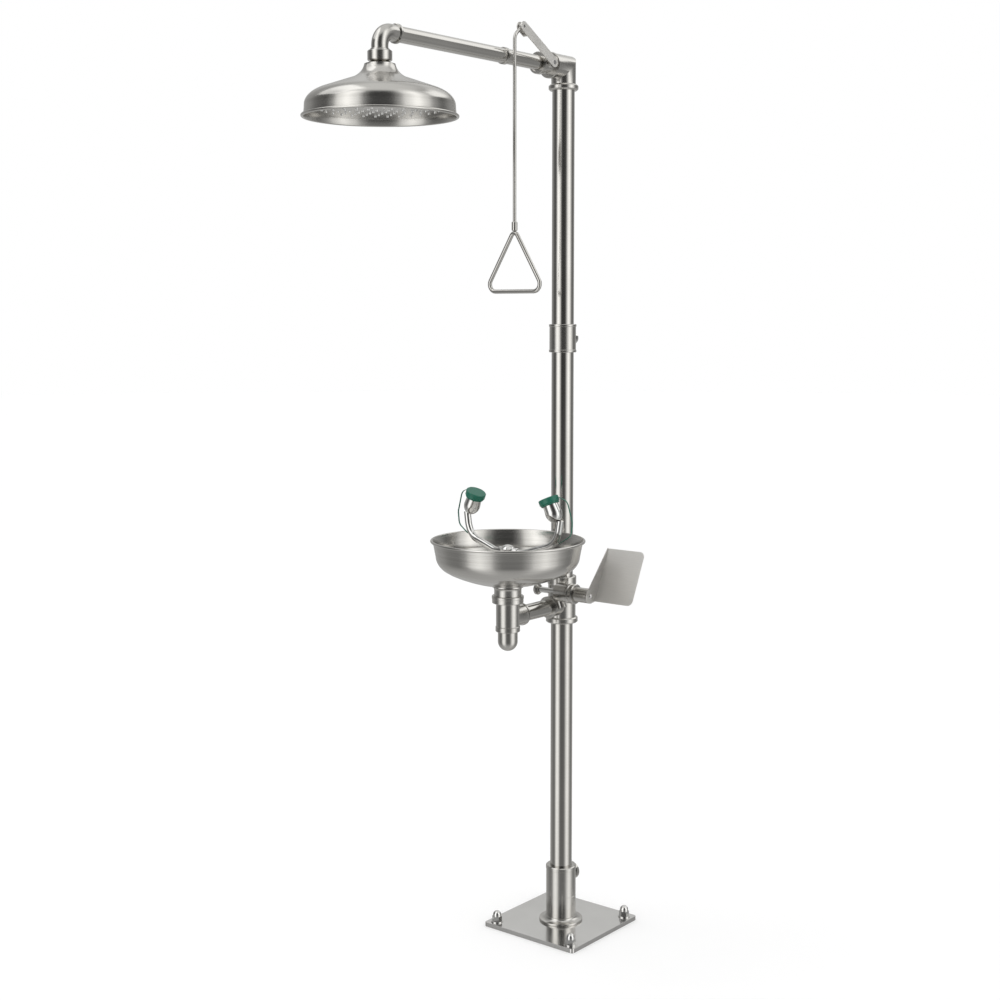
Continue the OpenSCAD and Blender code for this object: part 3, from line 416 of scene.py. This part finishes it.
for name in ("lower_pipe", "middle_pipe", "upper_pipe", "foot_nipple"):
    skin(name, tube_steel)
for name in ("shower_arm", "outlet_nipple", "feed_pipe"):
    skin(name, arm_steel)
for name in ("base_socket", "inlet_tee", "mid_coupling", "bowl_tee", "neck_union_ring",
             "bowl_neck", "trap_cup", "head_union_nut", "arm_joint_ring", "base_flange",
             "valve_tee", "top_elbow", "shower_valve_body", "head_elbow", "gland_nut",
             "paddle_sleeve", "spindle_knob", "rod_ferrule", "riser", "pull_rod"):
    skin(name, fitting_steel)
for name in ("coupling_plug", "shower_ball", "shower_stem", "rod_pin", "valve_rotor",
             "paddle_screw", "manifold", "left_nozzle", "right_nozzle", "bowl_strainer"):
    skin(name, bright_steel)
for name in ("ball_seats", "gland_packing", "bowl_gasket"):
    skin(name, rubber)

# ---- Base plate, anchors, lever and paddle ----
# Laser-cut stainless plate and strip with their edges broken, and domed cap
# nuts on plain washers. The paddle is one bent sheet with its gusset.
skin("base_plate", plate_steel_painted_light, width=0.0012)
skin("anchor_washers", bright_steel, width=0.0004)
skin("anchor_cap_nuts", bright_steel, width=0.0006)
skin("shower_lever", lever_steel_painted_light, width=0.0005)
skin("lever_clevis", lever_steel_painted_light, width=0.0003)
skin("push_paddle", lever_steel_painted_light, width=0.0004)

# ---- Bowl and shower bell ----
# Both are spun from thin stainless sheet with a rolled rim; the spinning
# leaves fine rings round the axis, inside and out.
mm = 0.001
bowl_lo, bowl_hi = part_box("bowl")
bell_lo, bell_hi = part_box("shower_bell")
bead_r = 3.5 * mm
sheet_t = 1.2 * mm
spin_steps = 144
curve_smooth = 40.0  # curved sheet and bent tube are shaded smooth up to this angle


def arc_points(cx, cz, rx, rz, start, end, n):
    """Points of an ellipse's arc, angles in degrees."""
    angles = [math.radians(start + (end - start) * i / n) for i in range(n + 1)]
    return [Vector((cx + rx * math.cos(a), 0, cz + rz * math.sin(a))) for a in angles]


def inset(line, t):
    """The line, last point first, moved t to the left of the way it runs."""
    moved = []
    for i, p in enumerate(line):
        d = (line[min(i + 1, len(line) - 1)] - line[max(i - 1, 0)]).normalized()
        moved.append(p + t * Vector((-d.z, 0, d.x)))
    return moved[::-1]


def spun(name, outline, axis, material, replaced):
    """Spins a closed outline, drawn in X and Z from the axis, into a sheet part."""
    bm = bmesh.new()
    verts = [bm.verts.new((axis.x + p.x, axis.y, p.z)) for p in outline]
    edges = [bm.edges.new((a, b)) for a, b in zip(verts, verts[1:] + verts[:1])]
    bmesh.ops.spin(bm, geom=verts + edges, cent=(axis.x, axis.y, 0), axis=(0, 0, 1),
                   angle=math.tau, steps=spin_steps, use_merge=True)
    bmesh.ops.remove_doubles(bm, verts=bm.verts, dist=1e-6)
    bmesh.ops.recalc_face_normals(bm, faces=bm.faces)
    return piece(name, bm, material, "frame", (replaced,), curve_smooth)


bowl_axis = Vector(((bowl_lo.x + bowl_hi.x) / 2, 0, 0))
rim_r = (bowl_hi.x - bowl_lo.x) / 2 - bead_r
rim_z = bowl_hi.z - bead_r
floor_z = bowl_lo.z
bowl_hole_r = 30 * mm
bowl_flat, flat_short = 54 * mm, 4 * mm
dish_r, dish_in, dish_up = 400 * mm, 69 * mm, 394.5 * mm
turn_wide, turn_tall = 59.5 * mm, 50 * mm
turn_in, turn_down = 70 * mm, 38 * mm
# A flat middle, a shallow dish, then a tight turn up into the wall.
bowl_outer = ([Vector((bowl_hole_r, 0, floor_z)), Vector((bowl_flat - flat_short, 0, floor_z))]
              + arc_points(bowl_flat - dish_in, floor_z + dish_up, dish_r, dish_r, -80, -65, 16)
              + arc_points(rim_r - turn_in, rim_z - turn_down, turn_wide, turn_tall, -60, -3, 28))
bowl_bead = arc_points(rim_r, rim_z, bead_r, bead_r, -150, 150, 20)
bowl_steel = steel("bowl_steel", None, warm_dark, warm_light, 0.19, 0.04, (bowl_axis.x, 0, 0))
spun("bowl_spun", bowl_outer + bowl_bead + inset(bowl_outer, sheet_t), bowl_axis,
     bowl_steel, "bowl")

bell_axis = Vector(((bell_lo.x + bell_hi.x) / 2, 0, 0))
bell_r = (bell_hi.x - bell_lo.x) / 2 - bead_r
bell_rim_z = bell_lo.z + bead_r
neck_r, neck_h, neck_turn = 22 * mm, 12 * mm, 3 * mm
bell_top_z = bell_hi.z - neck_h
hollow_out, hollow_up, hollow_wide, hollow_tall = 88 * mm, 2 * mm, 52 * mm, 42 * mm
dome_out, dome_up, dome_in, dome_tall = 100 * mm, 24 * mm, 104.5 * mm, 45 * mm
wall_in, wall_up = 4 * mm, 14 * mm
# A short neck, a hollow curve out from it, a dome over that, and the wall down.
bell_outer = ([Vector((neck_r, 0, bell_hi.z)), Vector((neck_r, 0, bell_top_z + neck_turn)),
               Vector((neck_r + neck_turn, 0, bell_top_z))]
              + arc_points(hollow_out, bell_top_z + hollow_up, hollow_wide, hollow_tall,
                           188, 245, 24)
              + arc_points(dome_out, bell_rim_z + dome_up, bell_r - dome_in, dome_tall,
                           62, 6, 30)
              + [Vector((bell_r - wall_in, 0, bell_rim_z + wall_up))])
bell_bead = arc_points(bell_r, bell_rim_z, bead_r, bead_r, 140, -160, 20)
bell_steel = steel("bell_steel", None, warm_dark, warm_light, 0.19, 0.04, (bell_axis.x, 0, 0))
spun("bell_spun", bell_outer + bell_bead + inset(bell_outer, -sheet_t), bell_axis,
     bell_steel, "shower_bell")
skin("spray_plate", bell_steel)

# ---- Spray jets ----
# Short bright nozzles seated under the spray plate, one below each hole, so
# that the water falls in separate streams.
plate_lo, plate_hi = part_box("spray_plate")
plate_margin = 6 * mm
jet_circle = (plate_hi.x - plate_lo.x) / 2 - plate_margin
jet_rings = 5
jet_r, jet_bore, jet_drop = 3.4 * mm, 1.8 * mm, 3.0 * mm
jet_taper = 0.5 * mm
jet_sides = 12
jet_outline = ((jet_r, 0.0), (jet_r - jet_taper, -jet_drop), (jet_bore, -jet_drop),
               (jet_bore, 0.0))
jets = bmesh.new()
for ring in range(1, jet_rings + 1):
    for k in range(6 * ring):
        turn_by = math.radians(k * 60 / ring)
        far = jet_circle * ring / (jet_rings + 1)
        spot = Vector((bell_axis.x + far * math.cos(turn_by), far * math.sin(turn_by),
                       plate_lo.z))
        rings = []
        for r, z in jet_outline:
            place = Matrix.Translation(spot + Vector((0, 0, z)))
            rings.append(bmesh.ops.create_circle(jets, segments=jet_sides, radius=r,
                                                 matrix=place)["verts"])
        for a, b in zip(rings, rings[1:] + rings[:1]):
            n = len(a)
            for i in range(n):
                jets.faces.new((a[i], a[(i + 1) % n], b[(i + 1) % n], b[i]))
bmesh.ops.recalc_face_normals(jets, faces=jets.faces)
piece("spray_jets", jets, bright_steel, "frame")

# ---- Eyewash outlets ----
# Two bent, polished tubes carry the nozzles, each closed by a moulded green
# dust cap that a thin strap ties to the tube.
sweep = math.radians(7.4)


def out_way(side):
    """The level direction in which an outlet leans out from the bowl's axis."""
    return Vector((-math.sin(sweep), side * math.cos(sweep), 0))


def outlet_point(side, far, z):
    """A point at a height, some way out from the bowl's axis."""
    return bowl_axis + out_way(side) * far + Vector((0, 0, z))


def rounded(points, radius, n):
    """An open route with its inner corners rounded."""
    route = [points[0]]
    for a, b, c in zip(points, points[1:], points[2:]):
        u, v = (a - b).normalized(), (c - b).normalized()
        half = math.acos(max(-1, min(1, u.dot(v)))) / 2
        m = b + (u + v).normalized() * radius / math.sin(half)
        t = radius / math.tan(half)
        e, f = (b + u * t - m) / radius, (b + v * t - m) / radius
        turn_all = math.pi - 2 * half
        for i in range(n + 1):
            s = i / n
            route.append(m + radius * (math.sin(turn_all * (1 - s)) * e
                                       + math.sin(turn_all * s) * f) / math.sin(turn_all))
    return route + [points[-1]]


def bar(name, route, radius, material, body, replaced):
    """Sweeps a round bar along an open route as a closed mesh."""
    curve = bpy.data.curves.new(name, "CURVE")
    curve.dimensions = "3D"
    line = curve.splines.new("POLY")
    line.points.add(len(route) - 1)
    for p, v in zip(line.points, route):
        p.co = (*v, 1)
    line.use_smooth = True
    curve.bevel_depth = radius
    curve.bevel_resolution = 6
    curve.use_fill_caps = True
    ob = bpy.data.objects.new(name, curve)
    scene.collection.objects.link(ob)
    settled = ob.evaluated_get(bpy.context.evaluated_depsgraph_get())
    mesh = bpy.data.meshes.new_from_object(settled)
    bpy.data.objects.remove(ob)
    bm = bmesh.new()
    bm.from_mesh(mesh)
    bmesh.ops.remove_doubles(bm, verts=bm.verts, dist=1e-6)
    bmesh.ops.recalc_face_normals(bm, faces=bm.faces)
    return piece(name, bm, material, body, replaced, curve_smooth)


below_rim, above_rim = 30 * mm, 58.5 * mm
outlet_z = rim_z - below_rim
foot_out, foot_z = 148.5 * mm, rim_z + above_rim
tube_r = 9.25 * mm
tube_start = 19 * mm
bend_r = 50 * mm
level_in = 100 * mm
slope_in, slope_up = 56 * mm, 14 * mm
rise_in, rise_up = 8 * mm, 28 * mm
neck_past, neck_below = 4 * mm, 27 * mm
tip_past, tip_above = 9 * mm, 5 * mm
# Out of the manifold, up the slope of the bowl, and up into the nozzle's foot.
stops = [(tube_start, outlet_z), (foot_out - level_in, outlet_z),
         (foot_out - slope_in, outlet_z + slope_up), (foot_out - rise_in, outlet_z + rise_up),
         (foot_out + neck_past, foot_z - neck_below), (foot_out + tip_past, foot_z + tip_above)]
for side, hand in ((-1, "left"), (1, "right")):
    route = rounded([outlet_point(side, *s) for s in stops], bend_r, 20)
    bar(hand + "_outlet_tube", route, tube_r, bright_steel, "frame", (hand + "_gooseneck",))

green, green_tree, green_shader = blank("green_moulding")
mottle = noise(green_tree, object_place(green_tree), 240.0, 3.0)
green_dark, green_light = (0.007, 0.112, 0.071), (0.013, 0.150, 0.098)
green_colour = tint(green_tree, spread(green_tree, mottle, 0, 1), green_dark, green_light)
green_tree.links.new(green_colour, green_shader.inputs["Base Color"])
green_tree.links.new(spread(green_tree, mottle, 0.27, 0.37), green_shader.inputs["Roughness"])
green_tree.links.new(bump(green_tree, mottle, 0.12, 0.0003), green_shader.inputs["Normal"])
skin("spray_inserts", green)
for hand in ("left", "right"):
    skin(hand + "_dust_cap", green, width=0.0006)
    skin(hand + "_cap_strap", green)

# ---- Pull handle ----
# A length of round bar bent into a triangle and welded shut under the ferrule.
skin("pull_handle", tube_steel)
